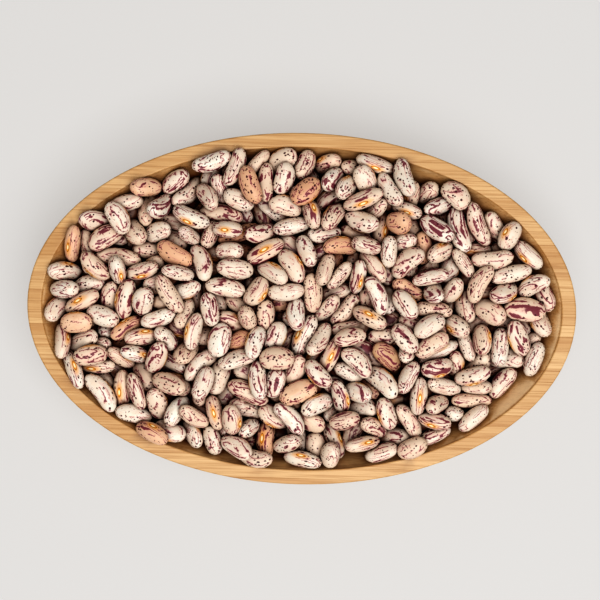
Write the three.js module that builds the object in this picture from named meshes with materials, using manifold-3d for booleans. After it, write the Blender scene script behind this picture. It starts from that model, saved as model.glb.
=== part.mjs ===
// An oval bamboo bowl, heaped with dried speckled beans.
//
// Units are millimetres. +Z is up, +X runs along the bowl's long axis, and the origin is the
// centre of the flat foot that the bowl stands on. The bowl is one carved piece. The beans are
// one heap: a core that fills the bowl, with the top layer of beans fused onto it.
import * as THREE from "three";
import { mergeVertices } from "three/addons/utils/BufferGeometryUtils.js";
import Module from "manifold-3d";

const wasm = await Module();
wasm.setup();

// ---- Driving dimensions: the bowl
const BOWL_LENGTH = 250;
const BOWL_WIDTH = 160;
const BOWL_HEIGHT = 42;
const RIM_WIDTH = 6.6;
const RIM_ROUNDING = 0.7;
const FLOOR_THICKNESS = 8;
// How far the wall leans in from the rim to the foot or the floor, at the ends and at the sides.
const OUTER_LEAN = { end: 56, side: 44 };
const INNER_LEAN = { end: 52, side: 40 };
// The wall's curve: its height grows as this power of the way out from the foot to the rim.
const WALL_POWER = 1.6;

// ---- Driving dimensions: the heap
const FIT_GAP = 0.35;
// How far below the rim the middles of the outermost beans lie, and the crown's rise from there.
const EDGE_DROP = 3.6;
const CROWN = 9.5;
// The heap is banked up towards -X and +Y, and has one hollow near its edge.
const BANK = { end: -1.1, side: 2.5 };
const HOLLOW = { x: 94, y: -41, depth: 11, reach: 20 };
// How far below the beans' middles the core ends.
const CORE_DEPTH = 1.2;

// ---- Driving dimensions: the beans
const BEAN_COUNT = 184;
const BEAN_LENGTH = 17;
const BEAN_WIDTH = 9.3;
const BEAN_THICKNESS = 7.8;
// How far the tips bend back from the middle, which gives the kidney shape.
const BEAN_BEND = 1.4;
// Beans differ from the mean size by up to this share, and in height and tilt by up to these.
const SIZE_SPREAD = 0.14;
const BEAN_LIFT = 2.2;
const BEAN_TILT = THREE.MathUtils.degToRad(17);
// The share of the beans that lie rolled over at any angle.
const ROLLED_SHARE = 0.45;

// ---- How finely the round forms are divided
const BOWL_SIDES = 64;
const CORE_SIDES = 32;
const WALL_STEPS = 6;
const CORE_TOP_SHARES = [0.75, 0.4];
const BEAN_SIDES = 6;
// A bean's two rings: their place along its half length, and their share of its full girth.
const BEAN_SHOULDER = 0.62;
const SHOULDER_GIRTH = 0.88;

// ---- How the beans are laid
const SEED = 20;
const LAYING_ROUNDS = 260;
const PUSH_SHARE = 0.22;
const WALL_PUSH_SHARE = 0.5;
// The outermost place where a bean is thrown, and the furthest that it is then moved inwards.
const THROW_REACH = 0.93;
const MOST_SHIFT = 0.07;
const SHIFT_STEP = 0.01;
const NEARLY_NOTHING = 1e-6;

const HALF_LENGTH = BOWL_LENGTH / 2;
const HALF_WIDTH = BOWL_WIDTH / 2;
const MOUTH_HALF_LENGTH = HALF_LENGTH - RIM_WIDTH;
const MOUTH_HALF_WIDTH = HALF_WIDTH - RIM_WIDTH;
const SHOULDER_HEIGHT = BOWL_HEIGHT - RIM_ROUNDING;

// A seeded random source, from 0 to 1, so that each build lays the beans the same way.
function seededRandom(seed) {
  let state = seed;
  return () => {
    state = (state + 0x6d2b79f5) | 0;
    let mixed = Math.imul(state ^ (state >>> 15), 1 | state);
    mixed = (mixed + Math.imul(mixed ^ (mixed >>> 7), 61 | mixed)) ^ mixed;
    return ((mixed ^ (mixed >>> 14)) >>> 0) / 2 ** 32;
  };
}

// ---- Oval forms, made of level rings

// One level ring of points on an oval. A shift moves its middle along Y.
function ring(halfX, halfY, height, sides, shift = 0) {
  const points = new THREE.EllipseCurve(0, shift, halfX, halfY).getPoints(sides);
  return points.slice(0, sides).map((p) => new THREE.Vector3(p.x, p.y, height));
}

// A ring inset from the outline of the rim, by its own amount at the ends and at the sides.
function insetRing(endInset, sideInset, height, sides) {
  return ring(HALF_LENGTH - endInset, HALF_WIDTH - sideInset, height, sides);
}

// A closed surface through rings of equal size, from the middle of the underside to the middle
// of the top, with a fan of triangles over each end.
function skinOver(rings, lowMiddle, highMiddle) {
  const sides = rings[0].length;
  const points = [lowMiddle, ...rings.flat(), highMiddle];
  const at = (level, i) => 1 + level * sides + (i % sides);
  const last = rings.length - 1;
  const faces = [];
  for (let i = 0; i < sides; i++) {
    faces.push(0, at(0, i + 1), at(0, i));
    for (let level = 0; level < last; level++) {
      faces.push(at(level, i), at(level, i + 1), at(level + 1, i + 1));
      faces.push(at(level, i), at(level + 1, i + 1), at(level + 1, i));
    }
    faces.push(at(last, i), at(last, i + 1), points.length - 1);
  }
  return new THREE.BufferGeometry().setFromPoints(points).setIndex(faces);
}

// Shares of the way up a wall, in even steps from 0 to 1.
function steps(count) {
  return Array.from({ length: count + 1 }, (_, i) => i / count);
}

// ---- The bowl

// The wall's rings, from the foot or the floor up to the height where the rim's rounding starts.
function wallRings(lean, inset, low, high) {
  return steps(WALL_STEPS).map((share) =>
    insetRing(
      inset + lean.end * (1 - share),
      inset + lean.side * (1 - share),
      low + (high - low) * share ** WALL_POWER,
      BOWL_SIDES,
    ),
  );
}

function makeBowl() {
  const softening = RIM_ROUNDING * (1 - Math.SQRT1_2);
  const outside = wallRings(OUTER_LEAN, 0, 0, SHOULDER_HEIGHT);
  const rim = [
    [softening, BOWL_HEIGHT - softening],
    [RIM_ROUNDING, BOWL_HEIGHT],
    [RIM_WIDTH - RIM_ROUNDING, BOWL_HEIGHT],
    [RIM_WIDTH - softening, BOWL_HEIGHT - softening],
  ].map(([inset, height]) => insetRing(inset, inset, height, BOWL_SIDES));
  const inside = wallRings(INNER_LEAN, RIM_WIDTH, FLOOR_THICKNESS, SHOULDER_HEIGHT);
  return skinOver(
    [...outside, ...rim, ...inside.reverse()],
    new THREE.Vector3(0, 0, 0),
    new THREE.Vector3(0, 0, FLOOR_THICKNESS),
  );
}

// How far the inside of the wall leans in from the rim's inner edge at a height.
function wallLean(height) {
  const up = (height - FLOOR_THICKNESS) / (SHOULDER_HEIGHT - FLOOR_THICKNESS);
  const left = 1 - THREE.MathUtils.clamp(up, 0, 1) ** (1 / WALL_POWER);
  return { end: INNER_LEAN.end * left, side: INNER_LEAN.side * left };
}

// How far out a point lies at a height inside the bowl: 1 is a margin in from the wall.
function shareToWall(x, y, height, margin) {
  const lean = wallLean(height);
  return Math.hypot(
    x / (MOUTH_HALF_LENGTH - lean.end - margin),
    y / (MOUTH_HALF_WIDTH - lean.side - margin),
  );
}

// ---- The heap's core

// The height of the top beans' middles: a crown, with the bank and the hollow.
function heapHeight(x, y) {
  const shareX = x / MOUTH_HALF_LENGTH;
  const shareY = y / MOUTH_HALF_WIDTH;
  const crown = CROWN * Math.max(0, 1 - shareX ** 2 - shareY ** 2);
  const bank = BANK.end * shareX + BANK.side * shareY;
  const fromHollow = Math.hypot(x - HOLLOW.x, y - HOLLOW.y) / HOLLOW.reach;
  return BOWL_HEIGHT - EDGE_DROP + crown + bank - HOLLOW.depth * Math.exp(-(fromHollow ** 2));
}

// The core lies along the inside of the bowl, a fit gap clear of it, up to the level that the
// top layer of beans is sunk into.
function makeCore() {
  const low = FLOOR_THICKNESS + FIT_GAP;
  const inset = RIM_WIDTH + FIT_GAP;
  const top = (x, y) => heapHeight(x, y) - CORE_DEPTH;
  const mouth = insetRing(inset, inset, 0, CORE_SIDES);
  const below = steps(WALL_STEPS - 1).map((share) =>
    mouth.map((p, i) => {
      const height = low + (top(p.x, p.y) - low) * share ** WALL_POWER;
      const lean = wallLean(height - FIT_GAP);
      return insetRing(inset + lean.end, inset + lean.side, height, CORE_SIDES)[i];
    }),
  );
  const above = CORE_TOP_SHARES.map((share) =>
    below.at(-1).map((p) => {
      const [x, y] = [p.x * share, p.y * share];
      return new THREE.Vector3(x, y, top(x, y));
    }),
  );
  return skinOver(
    [...below, ...above],
    new THREE.Vector3(0, 0, low),
    new THREE.Vector3(0, 0, top(0, 0)),
  );
}

// ---- The beans

// One bean, lying along X with the hollow of its kidney shape towards -Y. It has few sides, so
// its girth is measured over the flats of its sides.
function makeBean({ length, width, thickness }) {
  const tip = length / 2;
  const overFlats = SHOULDER_GIRTH / Math.cos(Math.PI / BEAN_SIDES);
  const back = BEAN_BEND / 2;
  const shoulders = [-tip, tip].map((end) =>
    ring(
      (thickness / 2) * SHOULDER_GIRTH,
      (width / 2) * overFlats,
      end * BEAN_SHOULDER,
      BEAN_SIDES,
      back - BEAN_BEND * BEAN_SHOULDER ** 2,
    ),
  );
  return skinOver(
    shoulders,
    new THREE.Vector3(0, back - BEAN_BEND, -tip),
    new THREE.Vector3(0, back - BEAN_BEND, tip),
  ).rotateY(Math.PI / 2);
}

// The beans of the top layer, thrown at random into the mouth and then pushed apart in plan
// until they lie side by side. The longest ones come first.
function layBeans(random) {
  const about = (reach) => reach * (2 * random() - 1);
  const size = (mean) => mean * (1 + about(SIZE_SPREAD));
  const beans = Array.from({ length: BEAN_COUNT }, () => {
    const out = Math.sqrt(random()) * THROW_REACH;
    const around = random() * 2 * Math.PI;
    return {
      x: MOUTH_HALF_LENGTH * out * Math.cos(around),
      y: MOUTH_HALF_WIDTH * out * Math.sin(around),
      heading: random() * Math.PI,
      length: size(BEAN_LENGTH),
      width: size(BEAN_WIDTH),
      thickness: size(BEAN_THICKNESS),
      lift: about(BEAN_LIFT),
      pitch: about(BEAN_TILT),
      roll: random() < ROLLED_SHARE ? about(Math.PI / 2) : about(BEAN_TILT),
    };
  });
  beans.sort((a, b) => b.length - a.length);
  for (let round = 0; round < LAYING_ROUNDS; round++) pushApart(beans);
  return beans;
}

// The three round blots that stand for a bean in plan: two near its tips and one in the middle.
function blotsOf(bean) {
  const reach = (bean.length - bean.width) / 2;
  return [-1, 0, 1].map((side) => ({
    side,
    x: bean.x + side * Math.cos(bean.heading) * reach,
    y: bean.y + side * Math.sin(bean.heading) * reach,
  }));
}

// One round of pushing: beans whose blots overlap move apart and turn, and beans too near the
// wall move in.
function pushApart(beans) {
  const blots = beans.map(blotsOf);
  const pushes = beans.map(() => ({ x: 0, y: 0, turn: 0 }));
  const push = (i, blot, x, y) => {
    const { heading, length } = beans[i];
    pushes[i].x += x;
    pushes[i].y += y;
    pushes[i].turn += (blot.side * (y * Math.cos(heading) - x * Math.sin(heading))) / length;
  };
  for (let i = 0; i < beans.length; i++) {
    for (let j = i + 1; j < beans.length; j++) {
      const apart = Math.hypot(beans[i].x - beans[j].x, beans[i].y - beans[j].y);
      if (apart > (beans[i].length + beans[j].length) / 2) continue;
      const wanted = (beans[i].width + beans[j].width) / 2;
      for (const a of blots[i]) {
        for (const b of blots[j]) {
          const gap = Math.max(NEARLY_NOTHING, Math.hypot(a.x - b.x, a.y - b.y));
          const share = PUSH_SHARE * Math.max(0, wanted / gap - 1);
          push(i, a, (a.x - b.x) * share, (a.y - b.y) * share);
          push(j, b, (b.x - a.x) * share, (b.y - a.y) * share);
        }
      }
    }
    for (const a of blots[i]) {
      const out = shareToWall(a.x, a.y, heapHeight(a.x, a.y), beans[i].width / 2);
      const share = WALL_PUSH_SHARE * Math.min(0, 1 / out - 1);
      push(i, a, a.x * share, a.y * share);
    }
  }
  beans.forEach((bean, i) => {
    bean.x += pushes[i].x;
    bean.y += pushes[i].y;
    bean.heading += pushes[i].turn;
  });
}

// A bean's place in the heap: turned to its heading, tilted, and laid at the heap's height.
function placeOf(bean, inwards) {
  const x = bean.x * inwards;
  const y = bean.y * inwards;
  return new THREE.Matrix4().compose(
    new THREE.Vector3(x, y, heapHeight(x, y) + bean.lift),
    new THREE.Quaternion().setFromEuler(
      new THREE.Euler(bean.roll, bean.pitch, bean.heading, "ZYX"),
    ),
    new THREE.Vector3(1, 1, 1),
  );
}

// ---- Joining the heap

function toSolid(geometry) {
  const merged = mergeVertices(geometry);
  return new wasm.Manifold(
    new wasm.Mesh({
      numProp: 3,
      vertProperties: merged.attributes.position.array,
      triVerts: new Uint32Array(merged.index.array),
    }),
  );
}

function toGeometry(solid) {
  const mesh = solid.getMesh();
  return new THREE.BufferGeometry()
    .setAttribute("position", new THREE.BufferAttribute(mesh.vertProperties, 3))
    .setIndex(new THREE.BufferAttribute(mesh.triVerts, 1));
}

// The room for beans: the inside of the bowl less the fit gap, and above the rim a little more,
// because a bean at the edge may lie over the rim's inner edge.
function makeRoom() {
  const inset = RIM_WIDTH + FIT_GAP;
  const floor = FLOOR_THICKNESS + FIT_GAP;
  const overRim = RIM_WIDTH / 2;
  const ceiling = BOWL_HEIGHT * 2;
  return skinOver(
    [
      ...wallRings(INNER_LEAN, inset, floor, BOWL_HEIGHT),
      insetRing(overRim, overRim, BOWL_HEIGHT + FIT_GAP, BOWL_SIDES),
      insetRing(overRim, overRim, ceiling, BOWL_SIDES),
    ],
    new THREE.Vector3(0, 0, floor),
    new THREE.Vector3(0, 0, ceiling),
  );
}

// A bean that would cross the bowl moves in until it is clear, or is left out.
function fitInRoom(bean, room) {
  for (let shift = 0; shift < MOST_SHIFT; shift += SHIFT_STEP) {
    const solid = toSolid(makeBean(bean).applyMatrix4(placeOf(bean, 1 - shift)));
    if (solid.subtract(room).volume() < NEARLY_NOTHING) return solid;
  }
  return null;
}

// The beans and the core, fused. Of what the fusing gives, only the heap itself is kept: a
// sealed hollow is a separate skin of negative volume, and a loose scrap one of small volume.
function makeHeap() {
  const room = toSolid(makeRoom());
  const beans = layBeans(seededRandom(SEED))
    .map((bean) => fitInRoom(bean, room))
    .filter(Boolean);
  const skins = wasm.Manifold.union([toSolid(makeCore()), ...beans]).decompose();
  const largest = skins.reduce((best, skin) => (skin.volume() > best.volume() ? skin : best));
  return toGeometry(largest);
}

// ---- The model

function piece(name, geometry, color, roughness) {
  const material = new THREE.MeshStandardMaterial({ color, roughness, metalness: 0 });
  const mesh = new THREE.Mesh(geometry, material);
  mesh.name = name;
  return mesh;
}

const model = new THREE.Group();
model.add(
  piece("bowl", makeBowl(), 0xd9a766, 0.5),
  piece("beans", makeHeap(), 0xd8bda6, 0.4),
);

export default model;
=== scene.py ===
# %% [markdown]
# # A bamboo bowl heaped with dried beans
# This file dresses a finished CAD model. The CAD part has two solids: an oval bowl, and a
# plain heap whose top layer of beans has few sides. Both stay in the frame for collision, and
# finer pieces stand for them here: a smooth bowl of laminated bamboo, and nearly six hundred
# separate beans that are dropped into it and settle by themselves.
#
# The frame is loaded first, because every piece takes its place and size from it.

# %% Load the frame
import math

import bpy
import numpy as np
from mathutils import Matrix, Vector
from mathutils.bvhtree import BVHTree


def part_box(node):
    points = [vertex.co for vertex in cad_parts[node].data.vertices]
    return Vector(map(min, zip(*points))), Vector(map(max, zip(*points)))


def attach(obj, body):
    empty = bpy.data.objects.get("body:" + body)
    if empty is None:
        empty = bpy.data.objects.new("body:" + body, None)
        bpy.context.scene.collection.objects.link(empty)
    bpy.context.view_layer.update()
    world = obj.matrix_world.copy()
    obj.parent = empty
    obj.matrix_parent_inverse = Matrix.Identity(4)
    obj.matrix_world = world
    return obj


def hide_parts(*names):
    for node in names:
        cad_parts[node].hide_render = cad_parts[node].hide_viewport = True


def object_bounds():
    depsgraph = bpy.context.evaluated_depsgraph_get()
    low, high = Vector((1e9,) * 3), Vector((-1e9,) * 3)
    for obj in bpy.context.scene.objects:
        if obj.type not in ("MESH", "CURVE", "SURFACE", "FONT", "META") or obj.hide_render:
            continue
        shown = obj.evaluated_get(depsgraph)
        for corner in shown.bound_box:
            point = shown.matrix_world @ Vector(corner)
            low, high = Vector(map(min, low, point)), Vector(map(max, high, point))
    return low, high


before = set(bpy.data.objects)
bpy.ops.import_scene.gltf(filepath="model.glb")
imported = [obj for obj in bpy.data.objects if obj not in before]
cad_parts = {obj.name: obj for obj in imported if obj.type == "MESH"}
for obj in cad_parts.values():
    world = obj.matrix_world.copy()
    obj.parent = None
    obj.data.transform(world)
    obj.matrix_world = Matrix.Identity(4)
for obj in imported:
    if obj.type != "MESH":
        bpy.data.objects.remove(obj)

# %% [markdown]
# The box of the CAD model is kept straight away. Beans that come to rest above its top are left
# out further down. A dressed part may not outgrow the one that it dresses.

bpy.context.view_layer.update()
cad_box = [list(corner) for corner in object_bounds()]
print("CAD box, metres:", cad_box)

# %% [markdown]
# Blender works in metres, so a millimetre gets a name. The bowl's outer size comes from the
# frame. Its wall can't be read from a box, so the few sizes that give it are repeated here.

# %% Sizes of the bowl
MM = 0.001
HALF_LENGTH, HALF_WIDTH, BOWL_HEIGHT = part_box("bowl")[1]
RIM_WIDTH = 6.6 * MM
RIM_ROUNDING = 0.7 * MM
FLOOR_THICKNESS = 8 * MM
OUTER_LEAN = (56 * MM, 44 * MM)
INNER_LEAN = (52 * MM, 40 * MM)
WALL_POWER = 1.6
MOUTH_HALF_LENGTH = HALF_LENGTH - RIM_WIDTH
MOUTH_HALF_WIDTH = HALF_WIDTH - RIM_WIDTH
SHOULDER_HEIGHT = BOWL_HEIGHT - RIM_ROUNDING
print("bowl, mm:", [round(side * 2 / MM, 1) for side in (HALF_LENGTH, HALF_WIDTH)])

# %% [markdown]
# ## Small helpers
# An operator acts on all that is selected, so each step starts from nothing selected, or from
# just the objects that it is meant for.

# %% Selecting
def deselect_all():
    for other in bpy.context.selected_objects:
        other.select_set(False)


def only(*objects):
    """Selects these objects and no others, and makes the last one active."""
    deselect_all()
    for chosen in objects:
        chosen.select_set(True)
    bpy.context.view_layer.objects.active = objects[-1]


def size_in_mm(piece):
    return [round(side / MM, 1) for side in piece.dimensions]


def name_piece(name):
    """Names the active object and its mesh."""
    piece = bpy.context.active_object
    piece.name = name
    piece.data.name = name
    return piece


# %% [markdown]
# ## The bowl
# A bowl like this is carved from one block of glued bamboo strips: an oval with a flat foot, a
# wall that grows steeper towards the top, and a flat rim with softened edges. It could be a
# lathe shape squashed to an oval, but then the rim would be squashed too and grow thin along
# the sides. So a disc is extruded upwards ring by ring, and each ring gets its own length and
# width, which keeps the rim one width all the way round.
#
# One more ring lies close beside each rounding, on the flat of the rim. It holds the smooth
# shading of the rounding to the edge; without it the whole rim would look domed.

# %% The bowl's rings
BOWL_SIDES = 128
WALL_STEPS = 18
ROUNDING_STEPS = 5
EDGE_HOLD = 0.2 * MM


def wall_rings(lean, inset, low, steps):
    """Half length, half width and height of each ring, from the foot or floor to the rim."""
    rings = []
    for step in range(steps + 1):
        up = step / steps
        half_length = HALF_LENGTH - inset - lean[0] * (1 - up)
        half_width = HALF_WIDTH - inset - lean[1] * (1 - up)
        rings.append((half_length, half_width, low + (SHOULDER_HEIGHT - low) * up**WALL_POWER))
    return rings


def rim_rings():
    """The rim from its outer to its inner edge, with a quarter round at each."""
    turns = [math.radians(90) * step / ROUNDING_STEPS for step in range(1, ROUNDING_STEPS + 1)]
    outer = [(RIM_ROUNDING * (1 - math.cos(turn)), math.sin(turn)) for turn in turns]
    outer.append((RIM_ROUNDING + EDGE_HOLD, 1))
    inner = [(RIM_WIDTH - inset, rise) for inset, rise in reversed(outer)]
    return [
        (HALF_LENGTH - inset, HALF_WIDTH - inset, SHOULDER_HEIGHT + RIM_ROUNDING * rise)
        for inset, rise in outer + inner
    ]


outside = wall_rings(OUTER_LEAN, 0, 0, WALL_STEPS)
inside = wall_rings(INNER_LEAN, RIM_WIDTH, FLOOR_THICKNESS, WALL_STEPS)
bowl_rings = outside + rim_rings() + inside[::-1]
print("rings from foot to floor:", len(bowl_rings))


# %% [markdown]
# The disc is added at the size of the foot. Extruding a lone face leaves its first copy
# behind, so the foot stays closed, and the last ring leaves the floor of the bowl.

# %% Extrude the bowl
def extrude_rings(name, rings, sides):
    """Adds a disc at the first ring and extrudes it through the others, which closes it."""
    deselect_all()
    half_length, half_width, height = rings[0]
    bpy.ops.mesh.primitive_circle_add(
        vertices=sides, radius=1, fill_type="NGON", location=(0, 0, height)
    )
    bpy.ops.object.transform_apply()
    bpy.ops.object.mode_set(mode="EDIT")
    bpy.ops.transform.resize(value=(half_length, half_width, 1), center_override=(0, 0, 0))
    for next_length, next_width, next_height in rings[1:]:
        bpy.ops.mesh.extrude_region_move(
            TRANSFORM_OT_translate={"value": (0, 0, next_height - height)}
        )
        stretch = (next_length / half_length, next_width / half_width, 1)
        bpy.ops.transform.resize(value=stretch, center_override=(0, 0, 0))
        half_length, half_width, height = next_length, next_width, next_height
    bpy.ops.mesh.select_all(action="SELECT")
    bpy.ops.mesh.normals_make_consistent(inside=False)
    bpy.ops.object.mode_set(mode="OBJECT")
    return name_piece(name)


bowl = extrude_rings("bamboo_bowl", bowl_rings, BOWL_SIDES)
bpy.ops.object.shade_smooth_by_angle(angle=math.radians(30))
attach(bowl, "root")
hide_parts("bowl")
print("bowl:", len(bowl.data.polygons), "faces, mm", size_in_mm(bowl))


# %% [markdown]
# ## Materials are small graphs of nodes
# Writing each node out in full hides what a material does. This helper adds a node, fills its
# inputs with numbers or links, and hands back its first output, so that a pattern reads like a
# sum.

# %% A graph helper
class Skin:
    """One material, and the nodes that paint it."""

    def __init__(self, name):
        self.material = bpy.data.materials.new(name)
        self.material.use_nodes = True
        self.tree = self.material.node_tree
        self.shader = self.tree.nodes["Principled BSDF"]

    def node(self, kind, inputs, **settings):
        made = self.tree.nodes.new("ShaderNode" + kind)
        for setting, value in settings.items():
            setattr(made, setting, value)
        for socket, value in inputs.items():
            self.feed(made.inputs[socket], value)
        return made

    def feed(self, socket, value):
        if isinstance(value, bpy.types.NodeSocket):
            self.tree.links.new(value, socket)
        else:
            socket.default_value = value

    def math(self, operation, *values):
        return self.node("Math", dict(enumerate(values)), operation=operation).outputs[0]

    def vector(self, operation, *values):
        made = self.node("VectorMath", {}, operation=operation)
        for position, value in enumerate(values):
            name = "Scale" if operation == "SCALE" and position == 1 else position
            self.feed(made.inputs[name], value)
        return made.outputs["Value" if operation in ("LENGTH", "DOT_PRODUCT") else "Vector"]

    def noise(self, vector, scale, detail=2.0, roughness=0.5):
        inputs = {"Vector": vector, "Scale": scale, "Detail": detail, "Roughness": roughness}
        return self.node("TexNoise", inputs).outputs["Fac"]

    def rise(self, value, low, high):
        """0 below low, 1 above high and a smooth slope between them."""
        inputs = {"Value": value, "From Min": low, "From Max": high}
        made = self.node("MapRange", inputs, interpolation_type="SMOOTHSTEP")
        return made.outputs["Result"]

    def mix(self, share, first, second, blend="MIX"):
        made = self.node("Mix", {0: share}, data_type="RGBA", blend_type=blend)
        self.feed(made.inputs[6], first)
        self.feed(made.inputs[7], second)
        return made.outputs[2]

    def marked(self, colour, mark, strength, paint):
        """The colour painted over where the mark is, this strongly."""
        return self.mix(self.math("MULTIPLY", mark, strength), colour, paint)

    def sky(self):
        """How much of the sky this place sees, as the mesh has written it down."""
        return self.node("Attribute", {}, attribute_name="sky_share").outputs["Fac"]

    def with_painted_shade(self, colour, shade, full_sky):
        """The colour times a painted shade where little sky is seen."""
        shaded = self.mix(1.0, colour, shade, "MULTIPLY")
        return self.mix(self.rise(self.sky(), 0.0, full_sky), shaded, colour)

    def bump(self, height, distance):
        inputs = {"Height": height, "Distance": distance, "Strength": 1.0}
        self.feed(self.shader.inputs["Normal"], self.node("Bump", inputs).outputs["Normal"])


def srgb(red, green, blue):
    """A colour as a paint chart gives it, 0 to 255, turned into light."""
    def light(value):
        value /= 255
        return value / 12.92 if value <= 0.04045 else ((value + 0.055) / 1.055) ** 2.4

    return (light(red), light(green), light(blue), 1)


# %% [markdown]
# ## Laminated bamboo
# Bamboo board is made of straight strips, each a few millimetres wide, glued side by side in
# layers. The strips run along the bowl, so on the rim's ends they show as short bars and along
# its sides as long lines. Each strip has its own shade, fine dark fibres run along it, and
# where the carver's tool crosses a strip at a slant the fibres show as dots and dashes. One
# solid pattern in Object coordinates gives all of this at once: it is cut by the bowl's form
# just as the real block is.
#
# Inside the bowl, painted light makes the wall paler where it lies open to the light, and painted
# shade makes it a deeper brown close to the beans. How open each place is gets written on the
# mesh further down.

# %% Bamboo
STRIP_WIDTH = 5.2 * MM
LAYER_THICKNESS = 17 * MM
FIBRE_GRAIN = (30, 1500, 1500)
STREAK_GRAIN = (9, 420, 420)
CLOUD_GRAIN = (14, 60, 60)
DARK_TONE = srgb(190, 151, 104)
LIGHT_TONE = srgb(216, 185, 141)
DARK_STRIP = srgb(170, 122, 72)
STREAK_COLOUR = srgb(170, 122, 70)
FIBRE_COLOUR = srgb(162, 116, 70)
CLOUD_COLOUR = srgb(216, 178, 124)
SEAM_COLOUR = srgb(140, 88, 44)
PAINTED_WALL_LIGHT = srgb(244, 220, 186)
WALL_LIGHT_FADE = 0.8 * MM
WOOD_SHADE = srgb(124, 86, 62)
WOOD_RELIEF = 0.06 * MM


def make_bamboo():
    skin = Skin("laminated_bamboo")
    coordinates = skin.node("TexCoord", {})
    place = coordinates.outputs["Object"]
    axes = skin.node("SeparateXYZ", {0: place})
    layer = skin.math("FLOOR", skin.math("DIVIDE", axes.outputs[2], LAYER_THICKNESS))
    shift = skin.node("TexWhiteNoise", {"W": layer}, noise_dimensions="1D").outputs["Value"]
    across = skin.math("ADD", skin.math("DIVIDE", axes.outputs[1], STRIP_WIDTH), shift)
    strip = skin.math("FLOOR", across)
    strip_key = skin.node("CombineXYZ", {0: strip, 1: layer}).outputs[0]
    tone = skin.node("TexWhiteNoise", {"Vector": strip_key}).outputs["Value"]
    fibres = skin.noise(skin.vector("MULTIPLY", place, FIBRE_GRAIN), 1.0, 3.0, 0.6)
    streaks = skin.noise(skin.vector("MULTIPLY", place, STREAK_GRAIN), 1.0, 2.0)
    clouds = skin.noise(skin.vector("MULTIPLY", place, CLOUD_GRAIN), 1.0, 2.0)
    from_middle = skin.math("SUBTRACT", skin.math("FRACT", across), 0.5)
    seam = skin.rise(skin.math("ABSOLUTE", from_middle), 0.475, 0.495)

    colour = skin.mix(tone, DARK_TONE, LIGHT_TONE)
    colour = skin.mix(skin.rise(tone, 0.86, 0.94), colour, DARK_STRIP)
    colour = skin.marked(colour, skin.rise(streaks, 0.48, 0.66), 0.4, STREAK_COLOUR)
    colour = skin.marked(colour, skin.rise(fibres, 0.47, 0.64), 0.55, FIBRE_COLOUR)
    colour = skin.marked(colour, clouds, 0.25, CLOUD_COLOUR)
    colour = skin.marked(colour, seam, 0.35, SEAM_COLOUR)

    # Painted light: the inside wall, below the rim, is made paler where it sees the most sky.
    inward = skin.vector("MULTIPLY", place, (-1, -1, 0))
    facing_in = skin.vector("DOT_PRODUCT", inward, coordinates.outputs["Normal"])
    depth = skin.math("SUBTRACT", SHOULDER_HEIGHT, axes.outputs[2])
    below_rim = skin.rise(depth, 0.0, WALL_LIGHT_FADE)
    inner_wall = skin.math("MULTIPLY", skin.rise(facing_in, 0.0, 0.05), below_rim)
    painted_wall_light = skin.math("MULTIPLY", inner_wall, skin.rise(skin.sky(), 0.7, 1.0))
    colour = skin.marked(colour, painted_wall_light, 0.6, PAINTED_WALL_LIGHT)
    # Painted shade: the wood is made darker and browner where it sees little sky.
    skin.feed(skin.shader.inputs["Base Color"], skin.with_painted_shade(colour, WOOD_SHADE, 1.0))
    skin.feed(skin.shader.inputs["Roughness"], skin.math("MULTIPLY_ADD", fibres, 0.2, 0.36))
    skin.bump(skin.math("SUBTRACT", fibres, skin.math("MULTIPLY", seam, 0.6)), WOOD_RELIEF)
    return skin.material


bowl.data.materials.append(make_bamboo())

# %% [markdown]
# ## The shape of the heap
# The beans stand a little above the rim in the middle, and are banked up towards one side, with
# a hollow where some have been taken. This is the height of the top beans' middles at any
# place in the mouth, the same rule as in the CAD heap.

# %% Heap surface
EDGE_DROP = 3.6 * MM
CROWN = 9.5 * MM
BANK = (-1.1 * MM, 2.5 * MM)
HOLLOW = (94 * MM, -41 * MM)
HOLLOW_DEPTH = 11 * MM
HOLLOW_REACH = 20 * MM


def heap_height(x, y):
    share_x = x / MOUTH_HALF_LENGTH
    share_y = y / MOUTH_HALF_WIDTH
    crown = CROWN * np.maximum(0, 1 - share_x**2 - share_y**2)
    bank = BANK[0] * share_x + BANK[1] * share_y
    from_hollow = np.hypot(x - HOLLOW[0], y - HOLLOW[1]) / HOLLOW_REACH
    return BOWL_HEIGHT - EDGE_DROP + crown + bank - HOLLOW_DEPTH * np.exp(-(from_hollow**2))


def mouth_share(x, y):
    """How far out a place lies: 0 in the middle of the mouth and 1 at the rim's inner edge."""
    return np.hypot(x / MOUTH_HALF_LENGTH, y / MOUTH_HALF_WIDTH)


# %% [markdown]
# ## The core
# Only two or three layers of beans can be seen into. Below them a core fills the bowl, so that
# fewer beans have to be made and dropped. It is extruded along the wall as the bowl was, then
# drawn in to the middle, and its top is raised to the heap's shape less the depth of the loose
# beans. It is painted dark, as painted shade, since the gaps between beans are deep down.

# %% Model the core
LOOSE_DEPTH = 20 * MM
FIT_GAP = 0.35 * MM
CORE_SIDES = 32
CORE_WALL_STEPS = 3
CORE_TOP_STEPS = 6
core_top = BOWL_HEIGHT - EDGE_DROP - LOOSE_DEPTH


def wall_ring(height, gap):
    """The ring of the inside of the wall at a height, a gap in from it."""
    up = (height - FLOOR_THICKNESS) / (SHOULDER_HEIGHT - FLOOR_THICKNESS)
    left = 1 - max(0, up) ** (1 / WALL_POWER)
    return (
        MOUTH_HALF_LENGTH - INNER_LEAN[0] * left - gap,
        MOUTH_HALF_WIDTH - INNER_LEAN[1] * left - gap,
        height + gap,
    )


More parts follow.
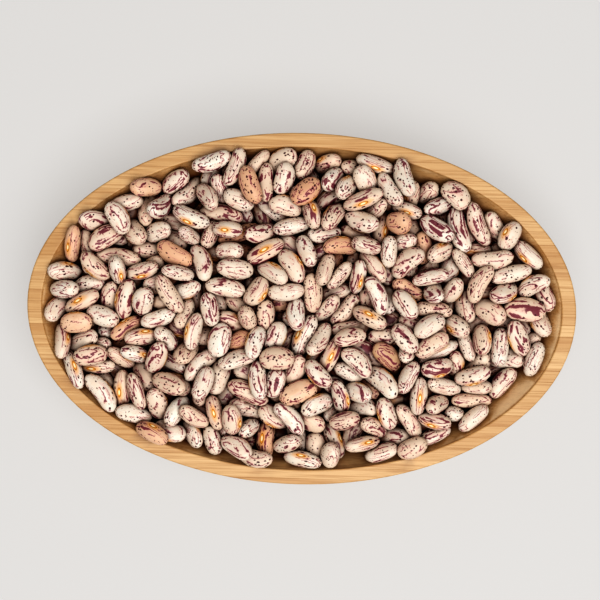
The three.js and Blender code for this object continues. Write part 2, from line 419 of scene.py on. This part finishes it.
def core_rings():
    rings = []
    for step in range(CORE_WALL_STEPS + 1):
        share = step / CORE_WALL_STEPS
        height = FLOOR_THICKNESS + (core_top - FLOOR_THICKNESS) * share**2
        rings.append(wall_ring(height, FIT_GAP))
    half_length, half_width, height = rings[-1]
    for step in range(1, CORE_TOP_STEPS):
        share = 1 - step / CORE_TOP_STEPS
        rings.append((half_length * share, half_width * share, height))
    return rings


core_edge = mouth_share(wall_ring(core_top, FIT_GAP)[0], 0)


def core_rise(x, y):
    """How far a place on the core's level top is raised."""
    inland = 1 - min(1, mouth_share(x, y) / core_edge) ** 6
    return float(heap_height(x, y) - LOOSE_DEPTH - core_top) * inland


core = extrude_rings("heap_core", core_rings(), CORE_SIDES)
for vertex in core.data.vertices:
    if vertex.co.z > core_top:
        vertex.co.z += core_rise(vertex.co.x, vertex.co.y)
bpy.ops.object.shade_smooth()
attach(core, "root")
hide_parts("beans")
print("core:", len(core.data.polygons), "faces, mm", size_in_mm(core))


# %% [markdown]
# ## Three master beans
# A dried bean is a kidney: a blunt oval, flatter than it is wide, bent round its scar. Three
# are modelled, from a plump one that is bent a little to a slim one that is bent more, and
# every bean in the heap is a copy of one of them at its own size. Each starts as a ball with
# its poles at the tips. The tips are made blunter by widening the rings next to them, and
# Simple Deform bends the whole.
#
# The patterns on a bean's skin follow its form: stripes run from tip to tip and the scar sits
# in the bend. So before the bend, each vertex writes down its own place in an attribute.

# %% Model a bean
BEAN_LENGTH = 17.0 * MM
BEAN_WIDTH = 9.3 * MM
BEAN_THICKNESS = 7.8 * MM
TIP_WIDENING = 0.28


def model_bean(name, length, width, bend, sides, rings):
    deselect_all()
    bpy.ops.mesh.primitive_uv_sphere_add(segments=sides, ring_count=rings, radius=0.5)
    bean = name_piece(name)
    bpy.ops.object.mode_set(mode="EDIT")
    bpy.ops.transform.rotate(value=math.radians(90), orient_axis="Y", center_override=(0, 0, 0))
    bpy.ops.transform.resize(value=(length, width, BEAN_THICKNESS), center_override=(0, 0, 0))
    bpy.ops.object.mode_set(mode="OBJECT")
    for vertex in bean.data.vertices:
        share = min(1, abs(vertex.co.x) / (length / 2))
        blunt = 1 + TIP_WIDENING * share**3
        vertex.co.y *= blunt
        vertex.co.z *= blunt
    own_place = bean.data.attributes.new("own_place", "FLOAT_VECTOR", "POINT")
    for vertex, place in zip(bean.data.vertices, own_place.data):
        place.vector = vertex.co / MM
    bender = bean.modifiers.new("bend", "SIMPLE_DEFORM")
    bender.deform_method = "BEND"
    bender.deform_axis = "Z"
    bender.angle = bend
    bpy.ops.object.modifier_apply(modifier=bender.name)
    bpy.ops.object.shade_smooth()
    return bean


SHAPES = {
    "plump_bean": (BEAN_LENGTH * 0.93, BEAN_WIDTH * 1.06, math.radians(48)),
    "middling_bean": (BEAN_LENGTH, BEAN_WIDTH, math.radians(66)),
    "slim_bean": (BEAN_LENGTH * 1.12, BEAN_WIDTH * 0.95, math.radians(80)),
}
masters = [model_bean(name, *shape, sides=12, rings=9) for name, shape in SHAPES.items()]
for master in masters:
    print(master.name, size_in_mm(master), "mm,", len(master.data.polygons), "faces")

# %% [markdown]
# ## Drop the beans
# Beans laid out by a rule look laid out. Dropped ones find the same nooks as real ones do, so a
# rigid body simulation lays them. The solver needs things about one unit large, so all that it
# sees is a hundred times its size: one unit is a centimetre.
#
# Two shapes catch the beans: the inside of the bowl, with a tall collar on its rim, and the
# core. They are built of slabs that lie edge to edge, one for each patch between two rings,
# because the solver is surest with solids that have no dents. The slabs are worked out from
# the rings, not read from a mesh: edit mode may number the same faces in another order next
# time, and a heap of beans would then fall another way.

# %% The fixed shapes
TRAY = 100
TRAY_SIDES = 32
TRAY_WALL_STEPS = 6
COLLAR_FLARE = 1.5 * MM
COLLAR_HEIGHT = 150 * MM
SLAB_THICKNESS = 12 * MM


def for_tray(mesh):
    """A copy of a mesh, enlarged for the solver."""
    enlarged = mesh.copy()
    enlarged.transform(Matrix.Scale(TRAY, 4))
    return enlarged


def ring_corners(ring, sides, rise=None):
    half_length, half_width, height = ring
    corners = []
    for side in range(sides):
        turn = 2 * math.pi * side / sides
        corner = Vector((half_length * math.cos(turn), half_width * math.sin(turn), height))
        if rise:
            corner.z += rise(corner.x, corner.y)
        corners.append(corner)
    return corners


def make_slabs(rings, sides, thickness, rise=None):
    """A slab for each patch between two rings, reaching this far out behind the patch."""
    slabs = []
    corners = [ring_corners(ring, sides, rise) for ring in rings]
    for low, high in zip(corners, corners[1:]):
        for side in range(sides):
            front = [low[side - 1], low[side], high[side], high[side - 1]]
            out = (front[2] - front[0]).cross(front[3] - front[1]).normalized()
            back = [corner + out * thickness for corner in front]
            slab_mesh = bpy.data.meshes.new("slab")
            slab_mesh.from_pydata([corner * TRAY for corner in front + back], [], [])
            slab = bpy.data.objects.new("slab", slab_mesh)
            bpy.context.scene.collection.objects.link(slab)
            slabs.append(slab)
    return slabs


tray_rings = wall_rings(INNER_LEAN, RIM_WIDTH, FLOOR_THICKNESS, TRAY_WALL_STEPS)
collar = (MOUTH_HALF_LENGTH + COLLAR_FLARE, MOUTH_HALF_WIDTH + COLLAR_FLARE)
tray_rings += [(*collar, BOWL_HEIGHT), (*collar, BOWL_HEIGHT + COLLAR_HEIGHT)]
core_top_rings = [*core_rings()[CORE_WALL_STEPS:], (0, 0, core_top + FIT_GAP)]
fixed_shapes = [
    *make_slabs(tray_rings, TRAY_SIDES, SLAB_THICKNESS),
    *make_slabs(core_top_rings, CORE_SIDES, -SLAB_THICKNESS, core_rise),
]
print("slabs:", len(fixed_shapes))

# %% [markdown]
# The beans start in loose layers above the bowl, each turned at random and a little larger or
# smaller than its master. Some are far longer than others, as in any bag of beans. The last
# layers leave out the place where the heap has its hollow. The solver gets copies with fewer
# sides, which are quicker and roll the same.

# %% Lay out the beans
BEAN_COUNT = 592
LAYER_SPACING = 17 * MM
LAYER_RISE = 16 * MM
FIRST_LAYER = 64 * MM
LAYERS = 9
FULL_LAYERS = 2
EDGE_MARGIN = 9 * MM
SIZE_SPREAD = 0.09
SIZE_LIMITS = (0.8, 1.22)
SHAPE_SHARES = (0.3, 0.45, 0.25)
SEED = 20
random = np.random.default_rng(SEED)


def layer_places(layer):
    """Places in one layer, in random order: a square grid cut to the mouth's oval."""
    half_length = MOUTH_HALF_LENGTH - EDGE_MARGIN
    half_width = MOUTH_HALF_WIDTH - EDGE_MARGIN
    hollow = HOLLOW_REACH if layer >= FULL_LAYERS else 0
    grid = [
        (x, y, FIRST_LAYER + LAYER_RISE * layer)
        for x in np.arange(-half_length, half_length, LAYER_SPACING)
        for y in np.arange(-half_width, half_width, LAYER_SPACING)
        if math.hypot(x / half_length, y / half_width) < 1
        and math.hypot(x - HOLLOW[0], y - HOLLOW[1]) > hollow
    ]
    return random.permutation(grid) + random.uniform(-MM, MM, (len(grid), 3))


places = np.concatenate([layer_places(layer) for layer in range(LAYERS)])[:BEAN_COUNT]
shapes = random.choice(len(SHAPES), size=BEAN_COUNT, p=SHAPE_SHARES)
sizes = np.clip(random.normal(1, SIZE_SPREAD, (BEAN_COUNT, 3)), *SIZE_LIMITS)
turns = random.uniform(-math.pi, math.pi, (BEAN_COUNT, 3))
coarse = [model_bean(name + "_coarse", *shape, sides=8, rings=6) for name, shape in SHAPES.items()]
tray_meshes = [for_tray(bean.data) for bean in coarse]
tray_beans = []
for place, shape, size, turn in zip(places, shapes, sizes, turns):
    bean = bpy.data.objects.new("tray_bean", tray_meshes[shape])
    bean.location = place * TRAY
    bean.scale = size
    bean.rotation_euler = turn
    bpy.context.scene.collection.objects.link(bean)
    tray_beans.append(bean)
print("beans to drop:", len(tray_beans))

# %% [markdown]
# The solver takes several steps a frame, so that quick beans don't pass through each other.
# With a centimetre for a unit the real pull would be 981; a tenth of it keeps the beans slow.
# Friction lets the heap keep its crown, and some damping brings it to rest sooner. When it is
# still, only the places and turns of the beans are kept, and the tray is cleared away. A bean
# that came to rest above the top of the CAD heap is left out.

# %% Let them settle
SETTLING_FRAMES = 110
STEPS_A_FRAME = 6
TRAY_GRAVITY = 98.1
FRICTION = 0.6
SLIDE_DAMPING = 0.1
TURN_DAMPING = 0.3


def add_to_solver(objects, kind):
    only(*objects)
    bpy.ops.rigidbody.objects_add(type=kind)
    for thing in objects:
        thing.rigid_body.collision_shape = "CONVEX_HULL"
        thing.rigid_body.mesh_source = "BASE"
        thing.rigid_body.friction = FRICTION
        thing.rigid_body.restitution = 0
        thing.rigid_body.linear_damping = SLIDE_DAMPING
        thing.rigid_body.angular_damping = TURN_DAMPING
        thing.rigid_body.use_margin = True
        thing.rigid_body.collision_margin = 0


def settle():
    """Runs the solver and gives the matrix of each bean at rest, in the tray's units."""
    scene = bpy.context.scene
    scene.gravity = (0, 0, -TRAY_GRAVITY)
    bpy.ops.rigidbody.world_add()
    scene.rigidbody_world.substeps_per_frame = STEPS_A_FRAME
    scene.rigidbody_world.point_cache.frame_end = SETTLING_FRAMES
    add_to_solver(fixed_shapes, "PASSIVE")
    add_to_solver(tray_beans, "ACTIVE")
    for frame_number in range(1, SETTLING_FRAMES + 1):
        scene.frame_set(frame_number)
    laid = [bean.matrix_world.copy() for bean in tray_beans]
    bpy.ops.rigidbody.world_remove()
    scene.frame_set(1)
    return laid


resting = settle()
for spare in [*tray_beans, *coarse, *fixed_shapes]:
    bpy.data.objects.remove(spare)
heights = sorted(matrix.translation.z / TRAY / MM for matrix in resting)
print("middles of the beans, mm:", round(heights[0], 1), "to", round(heights[-1], 1))


def top_of(shape, matrix):
    """The highest point of a bean at rest, in metres."""
    return max((matrix @ vertex.co).z for vertex in tray_meshes[shape].vertices) / TRAY


low_enough = [top_of(*bean) <= cad_box[1][2] for bean in zip(shapes, resting)]
print("beans that stand above the CAD heap and are left out:", low_enough.count(False))

# %% [markdown]
# ## Four kinds of skin, one piece for each
# About half the beans are cream with dark speckles, nearly as many have stripes as well, one in
# twenty is tan, and one in a hundred carries broad purple patches. Each kind becomes one piece:
# copies of the masters, each put where a bean came to rest and given a number of its own, then
# joined. Its material reads that number, so no two beans get the same markings.

# %% Copy and join
KINDS = {"speckled_beans": 0.52, "striped_beans": 0.42, "tan_beans": 0.05, "patched_beans": 0.01}


def place_copy(master, matrix):
    bean = bpy.data.objects.new("bean", master.data.copy())
    bpy.context.scene.collection.objects.link(bean)
    bean.matrix_world = Matrix.Scale(1 / TRAY, 4) @ matrix @ Matrix.Scale(TRAY, 4)
    own_number = bean.data.attributes.new("own_number", "FLOAT", "POINT")
    own_number.data.foreach_set("value", [random.random()] * len(own_number.data))
    return bean


def join_kind(kind):
    copies = [
        place_copy(masters[shape], matrix)
        for shape, matrix, chosen, kept in zip(shapes, resting, kinds, low_enough)
        if chosen == kind and kept
    ]
    only(*copies)
    bpy.ops.object.join()
    bpy.ops.object.transform_apply()
    print(kind, len(copies), "beans")
    return name_piece(kind)


kinds = random.choice(list(KINDS), size=BEAN_COUNT, p=list(KINDS.values()))
bean_pieces = [join_kind(kind) for kind in KINDS]
for piece in bean_pieces:
    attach(piece, "root")
    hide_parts("beans")
for master in masters:
    bpy.data.objects.remove(master)

# %% [markdown]
# ## How much sky each place sees
# Between real beans the gaps are almost black. Light that gets down there has bounced off many
# brown skins, and a camera's contrast deepens it further. A few test rays from each corner of
# each bean and of the bowl's inside tell how much of the sky it sees. That share is kept on the
# mesh. Where it is low, shade is painted into the skins and the wood, darker and browner; where
# it is high, light is painted onto the bowl's inside wall. The bowl's outside counts as open
# everywhere.

# %% Look up from each corner
RAYS = 16
RAY_REACH = 15 * MM
RAY_START = 0.2 * MM
GOLDEN_ANGLE = math.pi * (3 - math.sqrt(5))


def sky_direction(ray):
    """One of RAYS directions in the upper half, closest together near straight up."""
    out = math.sqrt((ray + 0.5) / RAYS)
    turn = GOLDEN_ANGLE * ray
    return Vector((out * math.cos(turn), out * math.sin(turn), math.sqrt(1 - out**2)))


def tree_of(pieces):
    corners, faces = [], []
    for piece in pieces:
        first = len(corners)
        corners += [vertex.co for vertex in piece.data.vertices]
        faces += [[first + corner for corner in face.vertices] for face in piece.data.polygons]
    return BVHTree.FromPolygons(corners, faces)


def sky_share(vertex, tree):
    """The share of the rays that leave the heap; a corner that faces down has few of them."""
    facing = [ray for ray in sky_directions if ray.dot(vertex.normal) > 0]
    start = vertex.co + vertex.normal * RAY_START
    free = sum(tree.ray_cast(start, ray, RAY_REACH)[0] is None for ray in facing)
    return free / max(len(facing), RAYS / 2)


def outside_bowl(vertex):
    return vertex.normal.x * vertex.co.x + vertex.normal.y * vertex.co.y > 0


sky_directions = [sky_direction(ray) for ray in range(RAYS)]
tree = tree_of([bowl, core, *bean_pieces])
for piece in [bowl, *bean_pieces]:
    shares = [
        1.0 if piece == bowl and outside_bowl(vertex) else sky_share(vertex, tree)
        for vertex in piece.data.vertices
    ]
    piece.data.attributes.new("sky_share", "FLOAT", "POINT").data.foreach_set("value", shares)
    print(piece.name, "mean share of sky:", round(sum(shares) / len(shares), 2))

# %% [markdown]
# ## Bean skins
# The skin's pattern lives in the bean's own space, so it follows each bean however it lies.
# - **Spots** are the cells of a Voronoi pattern, drawn out along the bean. Each cell draws its
#   own size, and many stay empty.
# - **Lines and loops** are the contour lines of a noise that is drawn out from tip to tip, as
#   on a map of long hills. Each has a paler halo beside it, and some stretches are left out.
# - **The scar** is a small pale oval in the bend, with a dark edge and an orange stain.

# %% Skin patterns
SCAR_LENGTH = 2.3
SCAR_WIDTH = 1.1


def own_space(skin):
    """A bean's own coordinates in mm, and its number from 0 to 1."""
    place = skin.node("Attribute", {}, attribute_name="own_place").outputs["Vector"]
    number = skin.node("Attribute", {}, attribute_name="own_number").outputs["Fac"]
    return place, number


def draw_lot(skin, number, lot):
    """Another number from 0 to 1 for the same bean."""
    return skin.math("FRACT", skin.math("MULTIPLY", number, lot))


def moved(skin, place, number, stretch, turn):
    """Own coordinates stretched, and moved far away by the bean's number."""
    away = skin.vector("SCALE", (turn * 31.0, turn * -17.0, turn * 23.0), number)
    return skin.vector("ADD", skin.vector("MULTIPLY", place, stretch), away)


def ragged(skin, place, scale, reach):
    """The same place pushed about a little, which makes straight edges ragged."""
    push = skin.node("TexNoise", {"Vector": place, "Scale": scale, "Detail": 2.0}).outputs["Color"]
    push = skin.vector("SUBTRACT", push, (0.5, 0.5, 0.5))
    return skin.vector("ADD", place, skin.vector("SCALE", push, reach))


def spots(skin, place, number, spacing, share, size, turn):
    """1 on a spot and 0 between them."""
    cells = skin.node(
        "TexVoronoi",
        {
            "Vector": moved(skin, ragged(skin, place, 1.6, 0.6), number, (0.7, 1, 1), turn),
            "Scale": 1 / spacing,
        },
    )
    draw = skin.node("SeparateXYZ", {0: cells.outputs["Color"]})
    patchy = skin.noise(moved(skin, place, number, (0.6, 1, 1), turn + 3.0), 0.3, 1.0)
    chance = skin.math("MULTIPLY", skin.rise(patchy, 0.3, 0.62), share)
    there = skin.math("LESS_THAN", draw.outputs[0], chance)
    reach = skin.math("MULTIPLY_ADD", draw.outputs[1], size * 0.6, size * 0.4)
    near = skin.math("SUBTRACT", reach, cells.outputs["Distance"])
    return skin.math("MULTIPLY", skin.rise(near, -0.03, 0.06), there)


def streaks(skin, place, number, stretch, finer, turn):
    """A noise drawn out in the directions where its stretch is small."""
    route = moved(skin, ragged(skin, place, 0.8, 0.9), number, stretch, turn)
    return skin.noise(route, finer, 1.0)


def scar_distance(skin, place):
    """1 on the edge of the scar, less inside it and more outside."""
    axes = skin.node("SeparateXYZ", {0: place})
    far_side = skin.math("MULTIPLY", skin.math("GREATER_THAN", axes.outputs[1], 0.0), 9.0)
    flat = skin.node(
        "CombineXYZ",
        {
            0: skin.math("DIVIDE", axes.outputs[0], SCAR_LENGTH / 2),
            1: far_side,
            2: skin.math("DIVIDE", axes.outputs[2], SCAR_WIDTH / 2),
        },
    ).outputs[0]
    return skin.vector("LENGTH", flat)


# %% [markdown]
# Each kind of skin is the same recipe with other amounts. The lots drawn from a bean's number
# make one bean paler, one pinker, one thick with spots and the next nearly bare.

# %% Bean skins
CREAM = srgb(235, 229, 218)
BLUSH = srgb(225, 204, 184)
GOLD = srgb(232, 172, 98)
SPOT_COLOUR = srgb(70, 24, 34)
FRECKLE_COLOUR = srgb(170, 98, 92)
HALO_COLOUR = srgb(222, 164, 158)
LINE_COLOUR = srgb(118, 38, 62)
BEAN_SHADE = srgb(100, 54, 28)
SCAR_RINGS = ((1.5, srgb(150, 88, 36)), (1.25, srgb(232, 166, 70)), (0.75, srgb(252, 236, 196)))
SCAR_RELIEF = 0.2 * MM
CONTOURS = 8.0


def make_bean_skin(name, pale, deep, spot_share, line_share, line_gaps):
    skin = Skin(name)
    place, number = own_space(skin)
    colour = skin.mix(draw_lot(skin, number, 37.0), pale, deep)
    mottle = skin.noise(moved(skin, place, number, (0.6, 1, 1), 1.0), 0.3, 3.0)
    colour = skin.marked(colour, skin.rise(mottle, 0.4, 0.7), 0.6, deep)
    scar = scar_distance(skin, place)
    stained = skin.math("SUBTRACT", 1.0, skin.rise(scar, 1.4, 4.0))
    colour = skin.marked(colour, stained, 0.7, GOLD)

    clear = skin.rise(scar, 1.7, 2.4)
    freckles = spots(skin, place, number, 0.9, 0.5, 0.4, 5.0)
    share = skin.math("MULTIPLY_ADD", draw_lot(skin, number, 91.0), spot_share, spot_share * 0.4)
    dots = spots(skin, place, number, 1.2, share, 0.42, 7.0)
    loops = streaks(skin, place, number, (0.07, 0.4, 1.1), 0.3, 2.0)
    level = skin.math("FRACT", skin.math("MULTIPLY", loops, CONTOURS))
    folded = skin.math("ABSOLUTE", skin.math("SUBTRACT", level, 0.5))
    width = skin.math("MULTIPLY_ADD", draw_lot(skin, number, 53.0), line_share, line_share * 0.5)
    parts = skin.noise(moved(skin, place, number, (0.5, 1, 1), 4.0), 0.3, 1.0)
    kept = skin.rise(parts, line_gaps, line_gaps + 0.06)
    from_line = skin.math("SUBTRACT", width, folded)
    line = skin.math("MULTIPLY", skin.rise(from_line, -0.03, 0.05), kept)
    halo = skin.math("MULTIPLY", skin.rise(from_line, -0.28, 0.0), kept)
    for mark, strength, paint in (
        (halo, 0.4, HALO_COLOUR),
        (freckles, 0.5, FRECKLE_COLOUR),
        (line, 0.9, LINE_COLOUR),
        (dots, 0.95, SPOT_COLOUR),
    ):
        shown = skin.math("MULTIPLY", skin.math("MULTIPLY", mark, strength), clear)
        colour = skin.mix(shown, colour, paint)

    for reach, paint in SCAR_RINGS:
        within = skin.math("SUBTRACT", 1.0, skin.rise(scar, reach - 0.2, reach + 0.1))
        colour = skin.mix(within, colour, paint)
    # Painted shade: the skin is made darker and browner where it sees little sky.
    skin.feed(skin.shader.inputs["Base Color"], skin.with_painted_shade(colour, BEAN_SHADE, 0.85))
    skin.feed(skin.shader.inputs["Roughness"], skin.math("MULTIPLY_ADD", dots, 0.1, 0.42))
    skin.feed(skin.shader.inputs["Specular IOR Level"], 0.3)
    skin.bump(skin.rise(scar, 0.6, 1.5), SCAR_RELIEF)
    return skin.material


RECIPES = {
    "speckled_beans": ("speckled_skin", CREAM, BLUSH, 0.95, 0.08, 0.45),
    "striped_beans": ("striped_skin", CREAM, BLUSH, 0.6, 0.15, 0.42),
    "tan_beans": ("tan_skin", srgb(233, 205, 180), srgb(216, 176, 146), 1.0, 0.1, 0.43),
    "patched_beans": ("patched_skin", CREAM, srgb(196, 160, 124), 0.2, 0.3, 0.4),
}
for piece in bean_pieces:
    piece.data.materials.append(make_bean_skin(*RECIPES[piece.name]))


# %% [markdown]
# The core is what the eye meets at the bottom of a deep gap: more beans, in shadow. A dark
# brown of painted shade, with a bean-sized mottle, is enough there.

# %% Core skin
MOTTLE_SIZE = 10 * MM
# Painted shade: both tones are bean colours darkened as if deep in shadow.
SHADED_MOTTLE_LIGHT = srgb(120, 80, 56)
SHADED_MOTTLE_DARK = srgb(52, 28, 16)


def make_core_skin():
    skin = Skin("deep_beans")
    place = skin.node("TexCoord", {}).outputs["Object"]
    cells = skin.node("TexVoronoi", {"Vector": place, "Scale": 1 / MOTTLE_SIZE})
    from_cell = skin.rise(cells.outputs["Distance"], 0.2, 0.6)
    colour = skin.mix(from_cell, SHADED_MOTTLE_LIGHT, SHADED_MOTTLE_DARK)
    skin.feed(skin.shader.inputs["Base Color"], colour)
    skin.feed(skin.shader.inputs["Roughness"], 0.6)
    return skin.material


core.data.materials.append(make_core_skin())

# %% [markdown]
# ## Floor, light and camera
# The bowl stands on a pale floor and is seen from straight above, from about arm's length. One
# broad soft lamp hangs high above the near right, and a pale room fills the shadows. The floor
# glows a little of itself, like a light table, so that no dark shadow rings the bowl.

# %% Floor
FLOOR_SIZE = 12
FLOOR_COLOUR = srgb(124, 124, 124)
GLOW_COLOUR = srgb(255, 253, 251)
GLOW_STRENGTH = 0.32
bpy.ops.mesh.primitive_plane_add(size=FLOOR_SIZE)
floor = name_piece("floor")
floor_skin = Skin("floor_paint")
floor_skin.feed(floor_skin.shader.inputs["Base Color"], FLOOR_COLOUR)
floor_skin.feed(floor_skin.shader.inputs["Emission Color"], GLOW_COLOUR)
floor_skin.feed(floor_skin.shader.inputs["Emission Strength"], GLOW_STRENGTH)
floor_skin.feed(floor_skin.shader.inputs["Roughness"], 0.8)
floor.data.materials.append(floor_skin.material)

# %% Lights
LAMP_PLACE = Vector((0.22, -0.43, 1.45))
LAMP_SIZE = 1.2
LAMP_POWER = 15.5
ROOM_COLOUR = srgb(255, 248, 240)
ROOM_STRENGTH = 0.22
lamp = bpy.data.lights.new("window", "AREA")
lamp.size = LAMP_SIZE
lamp.energy = LAMP_POWER
holder = bpy.data.objects.new("window", lamp)
holder.location = LAMP_PLACE
holder.rotation_euler = (-LAMP_PLACE).to_track_quat("-Z", "Y").to_euler()
bpy.context.scene.collection.objects.link(holder)
world = bpy.data.worlds.new("studio")
world.use_nodes = True
room = world.node_tree.nodes["Background"]
room.inputs["Color"].default_value = ROOM_COLOUR
room.inputs["Strength"].default_value = ROOM_STRENGTH
bpy.context.scene.world = world
bpy.context.scene.view_settings.view_transform = "Standard"
bpy.context.scene.view_settings.look = "Very High Contrast"

# %% Camera
VIEW_HEIGHT = 0.78
VIEW_WIDTH = 273 * MM
VIEW_MIDDLE = (-0.9 * MM, 3.9 * MM)
VIEW_ROLL = math.radians(1.5)
lens = bpy.data.cameras.new("camera")
lens.angle = 2 * math.atan(VIEW_WIDTH / 2 / VIEW_HEIGHT)
camera = bpy.data.objects.new("camera", lens)
camera.location = (*VIEW_MIDDLE, BOWL_HEIGHT + VIEW_HEIGHT)
camera.rotation_euler = (0, 0, VIEW_ROLL)
bpy.context.scene.collection.objects.link(camera)
bpy.context.scene.camera = camera

# %% Finish
bpy.context.view_layer.update()
